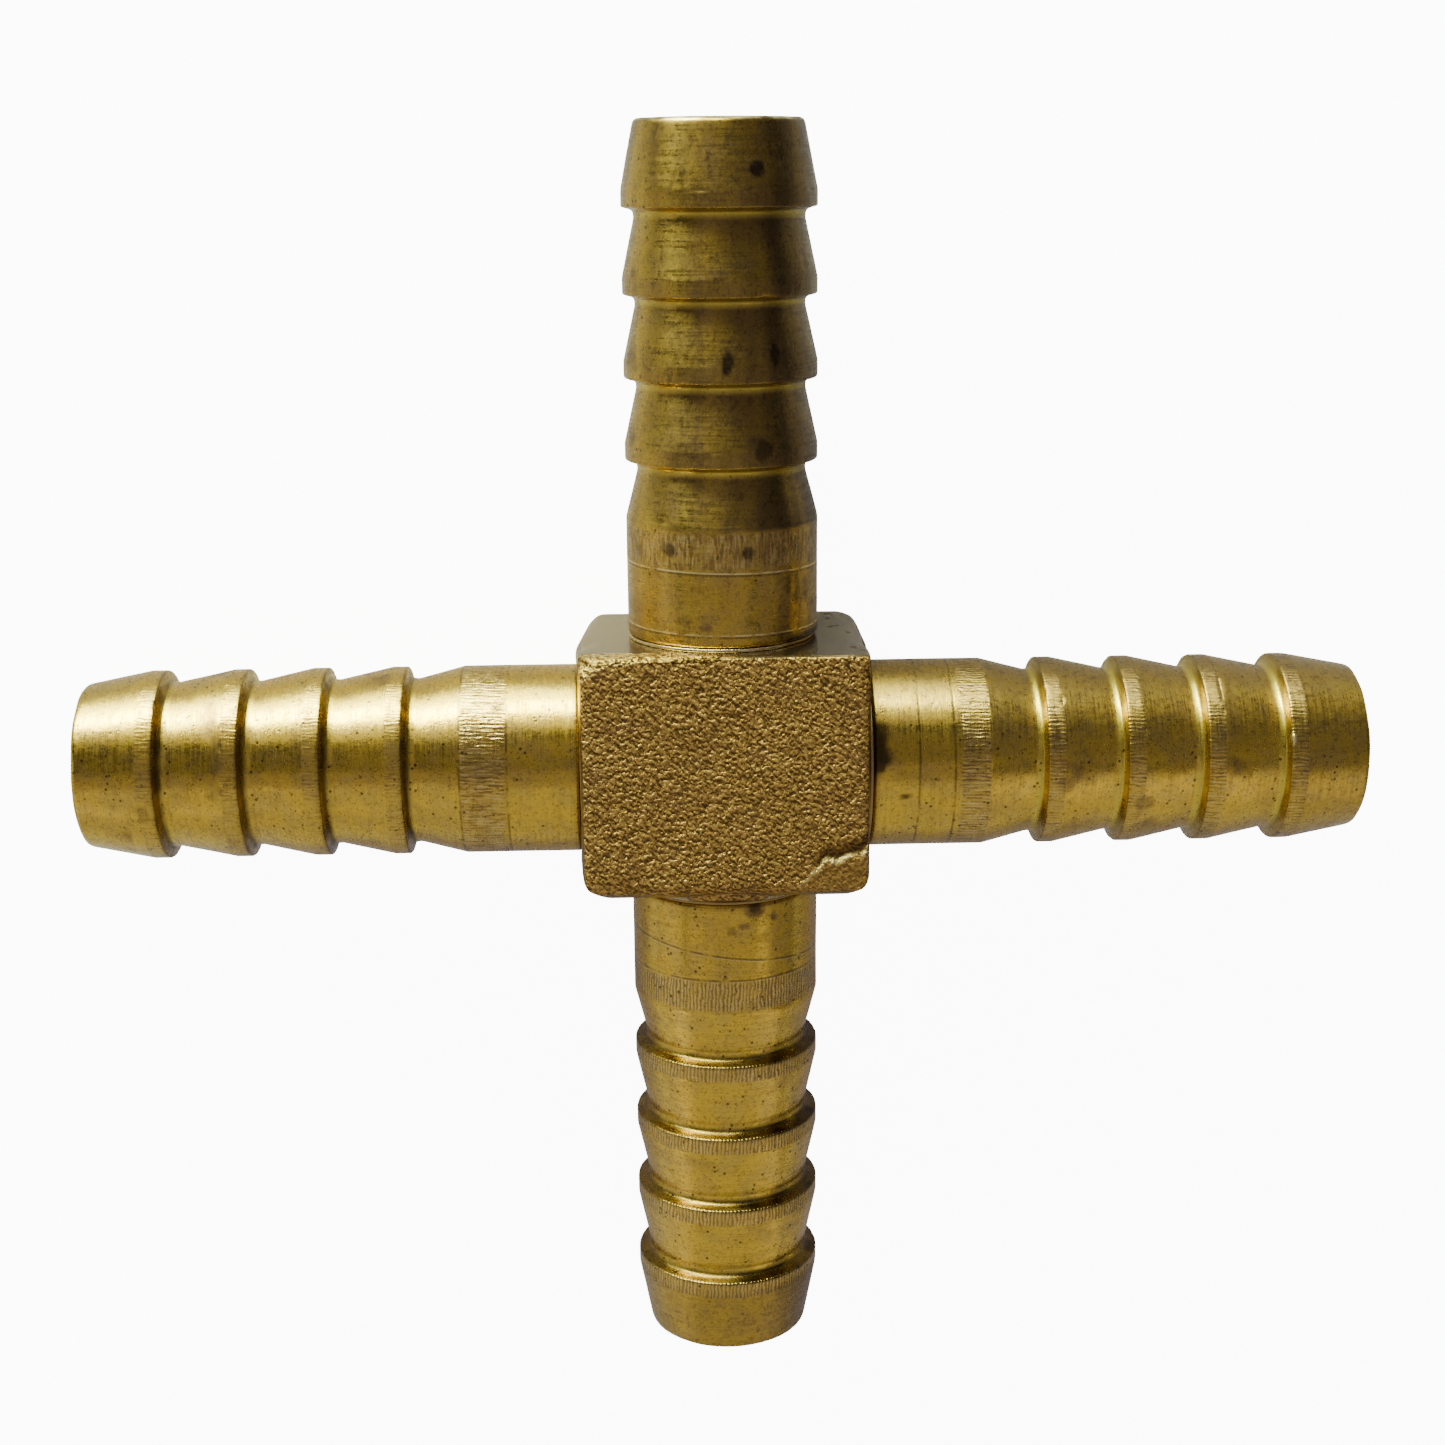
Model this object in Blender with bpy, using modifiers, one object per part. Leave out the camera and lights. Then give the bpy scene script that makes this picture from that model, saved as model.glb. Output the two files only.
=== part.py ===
"""Four-way barbed hose cross in brass.

A square block carries four turned hose nipples, one on each machined side. Each nipple has a
spigot that sits in a socket of the block, and a thin ring of filler metal closes the joint at
its shoulder. Two straight waterways cross in the block.

The cross lies flat: its arms run along X and Y, and +Z points out of the rough forged face.
The origin is where the two waterways cross. Units are metres.
"""

import math

import bmesh
import bpy
from mathutils import Matrix, Vector

MM = 0.001

# Block
BLOCK_WIDTH = 16.0 * MM  # along X
BLOCK_LENGTH = 14.4 * MM  # along Y
BLOCK_DEPTH = 12.8 * MM  # along Z
CORNER_RADIUS = 1.15 * MM  # the four edges that run along Z
CORNER_SEGMENTS = 4
FACE_EDGE_RADIUS = 0.3 * MM  # the edges of the two rough faces
FACE_EDGE_SEGMENTS = 2

# Waterway and joint
BORE_RADIUS = 3.6 * MM
SPIGOT_RADIUS = 4.6 * MM
SPIGOT_LENGTH = 2.9 * MM
SPIGOT_CHAMFER = 0.2 * MM
SOCKET_DEPTH = 3.0 * MM
CLEARANCE = 0.05 * MM
SHOULDER_GAP = 0.22 * MM  # between the nipple's shoulder and the side of the block
RING_RADIUS = 5.2 * MM

# Nipple, measured along its axis from the side of the block
NIPPLE_LENGTH = 28.5 * MM
BARB_COUNT = 4
FIRST_CREST = 10.53 * MM  # the crest nearest the block
BARB_PITCH = 4.53 * MM
TIP_BARB_EXTRA = 0.14 * MM  # the outermost barb stands this much further out
CREST_RADIUS = 5.4 * MM
CREST_LAND = 0.9 * MM  # flat top of a barb
NECK_RADIUS = 4.72 * MM
NECK_SETBACK = 1.05 * MM  # from a crest's middle back to its neck
ROOT_STEP = 0.16 * MM  # curved foot of a barb's shoulder
SHANK_END = 6.85 * MM
SHANK_CHAMFER = 0.35 * MM
TIP_CONE_RADIUS = 4.66 * MM
TIP_ROUND = 0.3 * MM
TIP_ROUND_STEPS = 3
MOUTH_CHAMFER = 0.15 * MM

# Mesh density
TURNED_STEPS = 40
MERGE_DISTANCE = 0.000001
SMOOTH_BELOW = math.radians(28)

ARMS = {
    "right": 0.0,
    "top": 90.0,
    "left": 180.0,
    "bottom": 270.0,
}


def clear_scene():
    for obj in list(bpy.data.objects):
        bpy.data.objects.remove(obj, do_unlink=True)


def new_collection(name):
    collection = bpy.data.collections.new(name)
    bpy.context.scene.collection.children.link(collection)
    return collection


def metal(name, color, roughness):
    material = bpy.data.materials.new(name)
    material.use_nodes = True
    shader = material.node_tree.nodes["Principled BSDF"]
    shader.inputs["Base Color"].default_value = (*color, 1.0)
    shader.inputs["Roughness"].default_value = roughness
    shader.inputs["Metallic"].default_value = 1.0
    return material


def smooth(mesh):
    """Smooth shading that keeps the machined edges crisp."""
    mesh.shade_smooth()
    mesh.set_sharp_from_angle(angle=SMOOTH_BELOW)


def turned_mesh(name, outline):
    """A solid of revolution about Z from a closed outline of (radius, height) points."""
    profile = bpy.data.meshes.new(name + "_profile")
    points = [(radius, 0.0, height) for radius, height in outline]
    count = len(points)
    edges = [(i, (i + 1) % count) for i in range(count)]
    profile.from_pydata(points, edges, [])
    blank = bpy.data.objects.new(name + "_blank", profile)
    bpy.context.scene.collection.objects.link(blank)
    screw = blank.modifiers.new("Turn", "SCREW")
    screw.axis = "Z"
    screw.angle = math.tau
    screw.steps = TURNED_STEPS
    screw.render_steps = TURNED_STEPS
    screw.use_merge_vertices = True
    screw.merge_threshold = MERGE_DISTANCE
    graph = bpy.context.evaluated_depsgraph_get()
    mesh = bpy.data.meshes.new_from_object(blank.evaluated_get(graph))
    mesh.name = name
    bpy.data.objects.remove(blank, do_unlink=True)
    bpy.data.meshes.remove(profile)
    smooth(mesh)
    return mesh


def arc(center, radius, start, end, steps):
    """Points on an arc in the plane of the outline, angles in degrees from the radial direction."""
    angles = [math.radians(start + (end - start) * i / steps) for i in range(steps + 1)]
    return [
        (center[0] + radius * math.cos(a), center[1] + radius * math.sin(a)) for a in angles
    ]


def barb_outline(crest):
    """One barb from its flat crest back to its neck, the outer end first."""
    neck = crest - NECK_SETBACK
    half_land = CREST_LAND / 2
    return [
        (CREST_RADIUS, crest + half_land),
        (CREST_RADIUS, crest - half_land),
        (NECK_RADIUS + ROOT_STEP, neck + ROOT_STEP),
        (NECK_RADIUS, neck),
    ]


def nipple_outline():
    """The nipple's section: down the outside from the tip to the spigot, then up the bore."""
    tip_center = (TIP_CONE_RADIUS - TIP_ROUND, NIPPLE_LENGTH - TIP_ROUND)
    outline = [(BORE_RADIUS + MOUTH_CHAMFER, NIPPLE_LENGTH)]
    outline += arc(tip_center, TIP_ROUND, 90, 0, TIP_ROUND_STEPS)
    for index in reversed(range(BARB_COUNT)):
        crest = FIRST_CREST + BARB_PITCH * index
        if index == BARB_COUNT - 1:
            crest += TIP_BARB_EXTRA
        outline += barb_outline(crest)
    outline += [
        (CREST_RADIUS, SHANK_END),
        (CREST_RADIUS, SHOULDER_GAP + SHANK_CHAMFER),
        (CREST_RADIUS - SHANK_CHAMFER, SHOULDER_GAP),
        (SPIGOT_RADIUS, SHOULDER_GAP),
        (SPIGOT_RADIUS, SPIGOT_CHAMFER - SPIGOT_LENGTH),
        (SPIGOT_RADIUS - SPIGOT_CHAMFER, -SPIGOT_LENGTH),
        (BORE_RADIUS, -SPIGOT_LENGTH),
        (BORE_RADIUS, NIPPLE_LENGTH - MOUTH_CHAMFER),
    ]
    return outline


def ring_outline():
    """The filler ring's section, a flat washer with a rounded outer edge."""
    inner = SPIGOT_RADIUS + CLEARANCE
    low = CLEARANCE
    high = SHOULDER_GAP - CLEARANCE
    half = (high - low) / 2
    outline = [(inner, high)]
    outline += arc((RING_RADIUS - half, low + half), half, 90, -90, TIP_ROUND_STEPS)
    outline.append((inner, low))
    return outline


def place_on_arm(obj, angle, reach):
    """Turns an object made along Z so that it points out along its arm, and seats it on the block."""
    turn = Matrix.Rotation(math.radians(angle), 4, "Z") @ Matrix.Rotation(math.radians(90), 4, "Y")
    obj.rotation_euler = turn.to_euler()
    obj.location = turn.to_3x3() @ Vector((0.0, 0.0, reach))


def side_reach(angle):
    """Distance from the origin to the block's side on this arm."""
    on_x = abs(math.cos(math.radians(angle))) > 0.5
    return (BLOCK_WIDTH if on_x else BLOCK_LENGTH) / 2


def add_arm_pieces(parts, root, stem, mesh, material):
    """One piece on each arm, all sharing a mesh."""
    mesh.materials.append(material)
    for arm, angle in ARMS.items():
        piece = bpy.data.objects.new(f"{stem}_{arm}", mesh)
        parts.objects.link(piece)
        piece.parent = root
        place_on_arm(piece, angle, side_reach(angle))


def block_mesh():
    """The block with its four Z edges rounded."""
    mesh = bpy.data.meshes.new("body_block")
    shape = bmesh.new()
    bmesh.ops.create_cube(shape, size=1.0)
    bmesh.ops.scale(shape, vec=(BLOCK_WIDTH, BLOCK_LENGTH, BLOCK_DEPTH), verts=shape.verts)
    upright = [e for e in shape.edges if abs(e.verts[0].co.z - e.verts[1].co.z) > BLOCK_DEPTH / 2]
    bmesh.ops.bevel(
        shape,
        geom=upright,
        offset=CORNER_RADIUS,
        offset_type="OFFSET",
        segments=CORNER_SEGMENTS,
        profile=0.5,
        affect="EDGES",
    )
    shape.to_mesh(mesh)
    shape.free()
    return mesh


def add_cutter(cutters, name, radius, low, high, angle):
    """A round cutter along an arm's axis, from low to high along it."""
    bpy.ops.mesh.primitive_cylinder_add(vertices=TURNED_STEPS, radius=radius, depth=high - low)
    cutter = bpy.context.active_object
    cutter.name = name
    place_on_arm(cutter, angle, (high + low) / 2)
    for collection in list(cutter.users_collection):
        collection.objects.unlink(cutter)
    cutters.objects.link(cutter)
    cutter.hide_render = True
    cutter.display_type = "WIRE"
    return cutter


def add_block(parts, cutters, root, material):
    block = bpy.data.objects.new("body_block", block_mesh())
    parts.objects.link(block)
    block.parent = root
    block.data.materials.append(material)
    edges = block.modifiers.new("Face edges", "BEVEL")
    edges.width = FACE_EDGE_RADIUS
    edges.segments = FACE_EDGE_SEGMENTS
    edges.limit_method = "ANGLE"
    edges.angle_limit = math.radians(60)
    overrun = BLOCK_WIDTH
    cuts = [
        add_cutter(cutters, "waterway_x", BORE_RADIUS, -overrun, overrun, ARMS["right"]),
        add_cutter(cutters, "waterway_y", BORE_RADIUS, -overrun, overrun, ARMS["top"]),
    ]
    for arm, angle in ARMS.items():
        side = side_reach(angle)
        socket_radius = SPIGOT_RADIUS + CLEARANCE
        floor = side - SOCKET_DEPTH
        cuts.append(add_cutter(cutters, f"socket_{arm}", socket_radius, floor, overrun, angle))
    for cutter in cuts:
        cut = block.modifiers.new(cutter.name, "BOOLEAN")
        cut.operation = "DIFFERENCE"
        cut.solver = "EXACT"
        cut.object = cutter


def build():
    clear_scene()
    parts = new_collection("barbed_cross")
    cutters = new_collection("cutters")
    root = bpy.data.objects.new("cross_root", None)
    parts.objects.link(root)
    forged = metal("forged_brass", (0.34, 0.22, 0.075), 0.55)
    turned = metal("turned_brass", (0.62, 0.45, 0.16), 0.3)
    filler = metal("braze_filler", (0.78, 0.70, 0.48), 0.28)
    add_block(parts, cutters, root, forged)
    add_arm_pieces(parts, root, "nipple", turned_mesh("nipple", nipple_outline()), turned)
    add_arm_pieces(parts, root, "braze_ring", turned_mesh("braze_ring", ring_outline()), filler)


build()
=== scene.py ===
"""Looks for the barbed brass hose cross.

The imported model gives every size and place. Each of its nine solids is replaced by a finely
modelled piece: four turned nipples, four thin rings of filler metal and the forged block. The
cross lies on its back on a pale floor, its arms along X and Y and its rough face up (+Z).
"""

import itertools
import math

import bmesh
import bpy
import numpy as np
from mathutils import Matrix, Vector


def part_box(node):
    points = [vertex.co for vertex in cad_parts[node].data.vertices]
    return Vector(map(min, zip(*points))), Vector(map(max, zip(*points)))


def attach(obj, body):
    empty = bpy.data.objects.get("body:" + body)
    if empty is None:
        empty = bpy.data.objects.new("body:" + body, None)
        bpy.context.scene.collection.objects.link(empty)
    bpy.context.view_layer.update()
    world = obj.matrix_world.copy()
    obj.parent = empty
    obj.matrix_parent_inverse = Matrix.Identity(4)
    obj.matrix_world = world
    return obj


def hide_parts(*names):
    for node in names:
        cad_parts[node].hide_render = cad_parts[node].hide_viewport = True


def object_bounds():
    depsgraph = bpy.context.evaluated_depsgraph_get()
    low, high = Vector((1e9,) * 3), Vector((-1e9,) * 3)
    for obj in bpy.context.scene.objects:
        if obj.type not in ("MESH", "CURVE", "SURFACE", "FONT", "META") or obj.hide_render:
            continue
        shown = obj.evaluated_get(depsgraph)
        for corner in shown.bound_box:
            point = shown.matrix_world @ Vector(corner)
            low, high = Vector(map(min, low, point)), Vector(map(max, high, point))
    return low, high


MM = 0.001
MICRON = 1e-6

# Camera, above the cross and a little towards its top arm
CAMERA_DISTANCE = 128.0 * MM
CAMERA_SLIDE = (0.07 * MM, -1.85 * MM)
CAMERA_TILT = math.radians(14.2)
CAMERA_SWING = math.radians(1.86)
CAMERA_ROLL = math.radians(0.95)
CAMERA_LENS = 54.9
CAMERA_NEAR = 5.0 * MM
SENSOR = 36.0

# Nipple section, measured along an arm from the side of the block
BORE_RADIUS = 3.6 * MM
MOUTH_CHAMFER = 0.15 * MM
TIP_RADIUS = 4.66 * MM
TIP_ROUND = 0.3 * MM
NECK_RADIUS = 4.72 * MM
NECK_ROUND = 0.12 * MM
ROOT_LIFT = 0.03 * MM  # the foot of a shoulder stands this far above the neck
ROOT_ROUND = 0.3 * MM
SPIGOT_RADIUS = 4.6 * MM
SPIGOT_CHAMFER = 0.2 * MM
BARB_PITCH = 4.53 * MM
FIRST_CREST = 10.53 * MM
TIP_BARB_EXTRA = 0.14 * MM
BARB_COUNT = 4
HALF_LAND = 0.45 * MM
OUTER_ROUND = 0.1 * MM  # rounding of a crest's outer edge, the shank's end and its foot
INNER_ROUND = 0.11 * MM
SHOULDER_RUN = 0.17 * MM  # length of a shoulder's slope
NECK_SETBACK = 1.05 * MM  # from crest's middle to neck
SHANK_END = 6.85 * MM
SHOULDER_GAP = 0.22 * MM
FOOT_CHAMFER = 0.12 * MM
FOOT_ROUND = 0.04 * MM
SEAT_ROUND = 0.03 * MM
EDGE_ROUND = 0.05 * MM  # every other small edge

# Mesh density
ROUND_STEPS = 5
LONGEST_STEP = 0.17 * MM
BORE_STEP = 0.9 * MM
TURNED_STEPS = 208

# Noise seeds
SEEDS_EACH = 20  # for each nipple
RING_SEED = 300
BLOCK_SEED = 400

# Filler ring
RING_CLEARANCE = 0.05 * MM
RING_SWELL = 0.03 * MM  # added to each side, so that no slot shows
RING_INNER_ROUND = 0.02 * MM
RING_FLUSH = 0.17 * MM  # how far a ring stands out where the joint is full
RING_BEAD = 0.07 * MM  # and how much further where the filler is bright

# Each arm: its turn about Z, two scribed lines as (distance, slant), the band of tool chatter
# on its shank, how regular the chatter is, how bright the lip of a scribed line is, how polished
# the barbs' inner edges are, how much painted shade darkens their shoulders, how much chatter the
# crests carry, and how stained the arm is
ARMS = {
    "right": {
        "turn": 0.0,
        "lines": ((4.8, 0.0), (2.8, 0.01)),
        "band": (5.05, 6.85),
        "regular": 0.5,
        "lip": 0.0,
        "polish": 1.0,
        "shoulder": 0.35,
        "crest": 0.75,
        "stained": 0.8,
    },
    "top": {
        "turn": 90.0,
        "lines": ((4.3, -0.02), (0.85, -0.01)),
        "band": (4.5, 6.6),
        "regular": 0.1,
        "lip": 0.7,
        "polish": 0.7,
        "shoulder": 0.0,
        "crest": 0.25,
        "stained": 1.0,
    },
    "left": {
        "turn": 180.0,
        "lines": ((4.25, 0.0), (6.9, 0.0)),
        "band": (4.3, 6.9),
        "regular": 0.4,
        "lip": 0.0,
        "polish": 0.3,
        "shoulder": 0.9,
        "crest": 0.45,
        "stained": 0.8,
    },
    "bottom": {
        "turn": 270.0,
        "lines": ((3.35, 0.13), (4.75, 0.0)),
        "band": (4.8, 6.65),
        "regular": 0.9,
        "lip": 0.3,
        "polish": 0.15,
        "shoulder": 1.0,
        "crest": 0.85,
        "stained": 0.25,
    },
}

# Stains and burrs: arm, middle and half-size in millimetres, strength or height
STAINS = (
    ("top", (1.85, 33.0, 5.0), (0.5, 0.6, 1.2), 1.0),
    ("top", (0.3, 34.7, 5.4), (0.13, 0.8, 0.9), 0.9),
    ("top", (-3.6, 32.4, 4.0), (0.3, 0.5, 1.0), 0.8),
    ("top", (-1.1, 8.6, 5.3), (0.45, 0.28, 1.0), 1.0),
    ("top", (-2.2, 8.8, 4.9), (0.22, 0.4, 1.0), 0.8),
    ("bottom", (1.53, -7.75, 5.2), (0.68, 0.58, 1.2), 0.9),
    ("bottom", (2.6, -8.35, 4.7), (0.24, 0.24, 1.2), 1.0),
    ("bottom", (0.9, -8.7, 5.4), (0.4, 0.24, 1.2), 0.7),
    ("bottom", (0.2, -9.0, 5.4), (0.34, 0.3, 1.2), 0.6),
    ("left", (-12.0, 2.6, 4.7), (0.8, 0.8, 1.5), 0.5),
    ("right", (23.6, -1.9, 5.0), (0.7, 0.5, 1.2), 0.6),
)
BURRS = (("right", (31.8, 1.7, 5.2), (0.22, 0.34, 0.6), 0.10),)

# Painted shadows at the feet of the top and right arms, then dark stains: arm, middle, half-size in
# millimetres, strength
FOOT_SHADOWS_AND_STAINS = (
    # the first two are painted shadows, where the block keeps the light off the top arm's right
    # foot and the right arm's upper foot
    ("top", (4.9, 7.35, 2.0), (2.4, 0.62, 4.2), 1.0),
    ("right", (8.3, 1.5, 5.0), (0.95, 1.8, 1.6), 0.95),
    ("top", (-3.0, 12.8, 4.5), (0.36, 0.4, 0.9), 0.8),
    ("top", (1.2, 12.7, 5.3), (0.42, 0.34, 0.9), 0.8),
    ("top", (1.85, 33.0, 5.0), (0.46, 0.55, 1.4), 1.0),
    ("top", (0.2, 23.0, 5.2), (0.4, 0.8, 1.2), 1.0),
    ("top", (2.8, 23.2, 4.4), (0.33, 0.8, 1.2), 1.0),
    ("top", (2.1, 18.2, 4.8), (0.55, 0.9, 1.2), 0.9),
    ("top", (3.5, 10.7, 4.1), (0.19, 0.8, 0.8), 0.5),
    ("top", (4.0, 10.5, 3.6), (0.19, 1.0, 0.8), 0.5),
    ("top", (4.5, 10.2, 3.0), (0.2, 0.9, 0.8), 0.5),
    ("bottom", (1.53, -7.7, 5.2), (0.38, 0.34, 0.9), 0.75),
    ("right", (10.0, -1.2, 5.2), (0.34, 0.2, 0.9), 0.8),
)

# Block
CORNER_RADIUS = 1.15 * MM
CORNER_SEGMENTS = 10
FACE_EDGE = 0.32 * MM
FACE_EDGE_SEGMENTS = 4
SOCKET_RADIUS = 4.65 * MM
SOCKET_DEPTH = 3.0 * MM
CUTTER_SEGMENTS = 96
VOXEL = 0.1 * MM
SEAT_RADIUS = 5.7 * MM  # the faced seat of a nipple stays flat inside this
SEAT_BLEND = 0.2 * MM
# The X sides stand out at mid-depth, all over and at the back
DRAFT = 0.34 * MM
FLASH_LEFT = 0.12 * MM
FLASH_RIGHT = -0.06 * MM
BACK_LEFT = -0.20 * MM
BACK_RIGHT = 0.35 * MM
LOWER_EDGE = 1.3 * MM
LOWER_CORNER = 1.9 * MM
LOWER_SETBACK = 0.32 * MM
SIDE_EDGE = 0.36 * MM

# Features of the rough face, in millimetres from its middle
LAP_LINE = (
    (3.9, -6.4),
    (4.7, -5.5),
    (5.5, -4.95),
    (6.1, -4.95),
    (6.9, -4.6),
    (7.4, -4.5),
    (8.1, -3.8),
)
LAP_SHIFT = 0.22
CHIP_LINE = ((-8.2, 5.8), (-7.85, 6.1), (-7.2, 6.5), (-6.2, 6.8), (-4.8, 6.98), (-3.2, 7.08))
CORNER_CUT = (7.85, 5.95)

# Materials
LIP_OFFSET = 0.1  # from a scribed line to its bright lip, in millimetres
FLANK_STEP = (-0.2, 0.5, 0.0)  # shifts the grain down and right, for painted light on one side of each grain and painted shade on the other

# Lights and stage
LIGHT_REACH = 0.6
KEY_TINT = (0.84, 1.0, 0.84)
COOL_TINT = (1.0, 0.93, 1.3)
WORLD_TINT = (0.85, 0.95, 1.6, 1.0)
WORLD_DIM = 0.08
WHITE = (1.0, 1.0, 1.0)
STAGE_GLOW = 11.0  # what the camera sees of the floor and the sky
FLOOR_GREY = (0.84, 0.84, 0.84, 1.0)
FLOOR_SEEN = (0.9, 0.9, 0.9, 1.0)  # the camera sees it a little paler
FLOOR_REACH = 4.0
FLOOR_DROP = 0.02 * MM


def lattice(x, y, z, seed):
    """Repeatable numbers from 0 to 1 at whole-number points of space."""
    mixed = (x * 374761393 + y * 668265263 + z * 1442695041 + seed * 974711) & 0xFFFFFFFF
    mixed = ((mixed ^ (mixed >> 13)) * 1274126177) & 0xFFFFFFFF
    return ((mixed ^ (mixed >> 16)) & 0xFFFF) / 65535.0


def noise(points, size, seed):
    """Smooth noise from -1 to 1, with lumps about size across."""
    scaled = points / size
    base = np.floor(scaled).astype(np.int64)
    part = scaled - base
    part = part**3 * (part * (part * 6 - 15) + 10)
    total = np.zeros(len(points))
    for corner in itertools.product((0, 1), repeat=3):
        weight = np.ones(len(points))
        for axis, side in enumerate(corner):
            weight = weight * (part[:, axis] if side else 1 - part[:, axis])
        cell = base + np.array(corner)
        total += weight * lattice(cell[:, 0], cell[:, 1], cell[:, 2], seed)
    return total * 2 - 1


def ramp(values, low, high):
    """0 below low, 1 above high and a smooth rise between."""
    t = np.clip((values - low) / (high - low), 0, 1)
    return t * t * (3 - 2 * t)


def near(values, middle, half_width):
    """1 at the middle, fading to 0 at half_width either side."""
    return 1 - ramp(np.abs(values - middle), 0.0, half_width)


def read_points(mesh):
    points = np.empty(len(mesh.vertices) * 3)
    mesh.vertices.foreach_get("co", points)
    return points.reshape(-1, 3)


def write_points(mesh, points):
    mesh.vertices.foreach_set("co", np.ascontiguousarray(points, np.float32).ravel())
    mesh.update()


def read_normals(mesh):
    normals = np.empty(len(mesh.vertices) * 3)
    mesh.vertex_normals.foreach_get("vector", normals)
    return normals.reshape(-1, 3)


def store(mesh, name, values):
    """Keeps one number a vertex on the mesh, for its material."""
    layer = mesh.attributes.new(name, "FLOAT", "POINT")
    layer.data.foreach_set("value", np.ascontiguousarray(values, np.float32))


def add_piece(name, mesh, material, node):
    piece = bpy.data.objects.new(name, mesh)
    bpy.context.scene.collection.objects.link(piece)
    mesh.materials.append(material)
    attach(piece, "root")
    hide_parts(node)
    return piece


def arm_turn(arm):
    """Turns something made along Z so that it points out along an arm."""
    turn = Matrix.Rotation(math.radians(ARMS[arm]["turn"]), 4, "Z")
    return turn @ Matrix.Rotation(math.radians(90), 4, "Y")


def arm_axis(arm):
    """0 for an arm along X and 1 for an arm along Y."""
    return 0 if ARMS[arm]["turn"] % 180 == 0 else 1


class Look:
    """A material under construction, with short calls for its nodes."""

    def __init__(self, name):
        self.material = bpy.data.materials.new(name)
        self.material.use_nodes = True
        self.tree = self.material.node_tree
        self.shader = self.tree.nodes["Principled BSDF"]

    def put(self, socket, value):
        if isinstance(value, bpy.types.NodeSocket):
            self.tree.links.new(value, socket)
        else:
            socket.default_value = value

    def node(self, kind, **settings):
        made = self.tree.nodes.new(kind)
        for key, value in settings.items():
            setattr(made, key, value)
        return made

    def feed(self, node, **values):
        """Sets a node's inputs by name, with _ for each space, and returns its first output."""
        for key, value in values.items():
            self.put(node.inputs[key.replace("_", " ")], value)
        return node.outputs[0]

    def set(self, **values):
        self.feed(self.shader, **values)

    def math(self, operation, first, second=0.0):
        made = self.node("ShaderNodeMath", operation=operation)
        self.put(made.inputs[0], first)
        self.put(made.inputs[1], second)
        return made.outputs[0]

    def add(self, *terms):
        total = terms[0]
        for term in terms[1:]:
            total = self.math("ADD", total, term)
        return total

    def times(self, first, second):
        return self.math("MULTIPLY", first, second)

    def away_from(self, value, middle):
        """How far a value is from the middle, either way."""
        return self.math("ABSOLUTE", self.math("SUBTRACT", value, middle))

    def range(self, value, low, high, out_low=0.0, out_high=1.0):
        made = self.node("ShaderNodeMapRange", interpolation_type="SMOOTHSTEP")
        self.feed(made, Value=value, From_Min=low, From_Max=high)
        return self.feed(made, To_Min=out_low, To_Max=out_high)

    def mix(self, factor, first, second):
        made = self.node("ShaderNodeMix", data_type="RGBA")
        self.put(made.inputs[0], factor)
        for socket, value in ((made.inputs[6], first), (made.inputs[7], second)):
            self.put(socket, value if isinstance(value, bpy.types.NodeSocket) else (*value, 1.0))
        return made.outputs[2]

    def layers(self, color, *coats):
        """Lays each (amount, color) coat over the color."""
        for amount, coat in coats:
            color = self.mix(amount, color, coat)
        return color

    def place(self):
        """Position on the object in millimetres."""
        coordinates = self.node("ShaderNodeTexCoord").outputs["Object"]
        return self.stretch(coordinates, (1 / MM, 1 / MM, 1 / MM))

    def stretch(self, vector, factors):
        return self.vector("MULTIPLY", vector, factors)

    def shift(self, vector, step):
        return self.vector("ADD", vector, step)

    def vector(self, operation, first, second):
        made = self.node("ShaderNodeVectorMath", operation=operation)
        self.put(made.inputs[0], first)
        self.put(made.inputs[1], second)
        return made.outputs[0]

    def turn(self, vector, degrees):
        made = self.node("ShaderNodeVectorRotate", rotation_type="Z_AXIS")
        return self.feed(made, Vector=vector, Angle=math.radians(degrees))

    def split(self, vector):
        made = self.node("ShaderNodeSeparateXYZ")
        self.feed(made, Vector=vector)
        return made.outputs

    def join(self, x, y=0.0):
        return self.feed(self.node("ShaderNodeCombineXYZ"), X=x, Y=y)

    def noise(self, vector, scale, detail=2.0, roughness=0.5, distortion=0.0):
        made = self.node("ShaderNodeTexNoise")
        self.feed(made, Vector=vector, Scale=scale, Detail=detail)
        return self.feed(made, Roughness=roughness, Distortion=distortion)

    def pits(self, vector, scale, low, high, share):
        """Small round specks: 1 in a speck, on about the given share of the cells."""
        cells = self.node("ShaderNodeTexVoronoi", feature="F1")
        self.feed(cells, Vector=vector, Scale=scale)
        speck = self.range(cells.outputs["Distance"], low, high, 1.0, 0.0)
        red = self.feed(self.node("ShaderNodeSeparateColor"), Color=cells.outputs["Color"])
        limit = 1 - share
        return self.times(speck, self.range(red, limit - 0.02, limit + 0.02))

    def attribute(self, name):
        return self.node("ShaderNodeAttribute", attribute_name=name).outputs["Fac"]

    def bump(self, height):
        """Surface relief from a height in metres."""
        made = self.node("ShaderNodeBump")
        self.set(Normal=self.feed(made, Strength=1.0, Distance=1.0, Height=height))


def scribed_lines(look, place):
    """Two fine turned lines: a dark scratch and the bright lip beside it."""
    broken = look.range(look.noise(place, 1.6, 2.0), 0.36, 0.54, 0.2, 1.0)
    marks = []
    for shift, half_width in ((0.0, 0.11), (LIP_OFFSET, 0.07)):
        both = [
            look.range(look.away_from(look.attribute(name), shift), 0.02, half_width, 1.0, 0.0)
            for name in ("scribe_a", "scribe_b")
        ]
        marks.append(look.times(look.math("MAXIMUM", *both), broken))
    return marks


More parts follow.
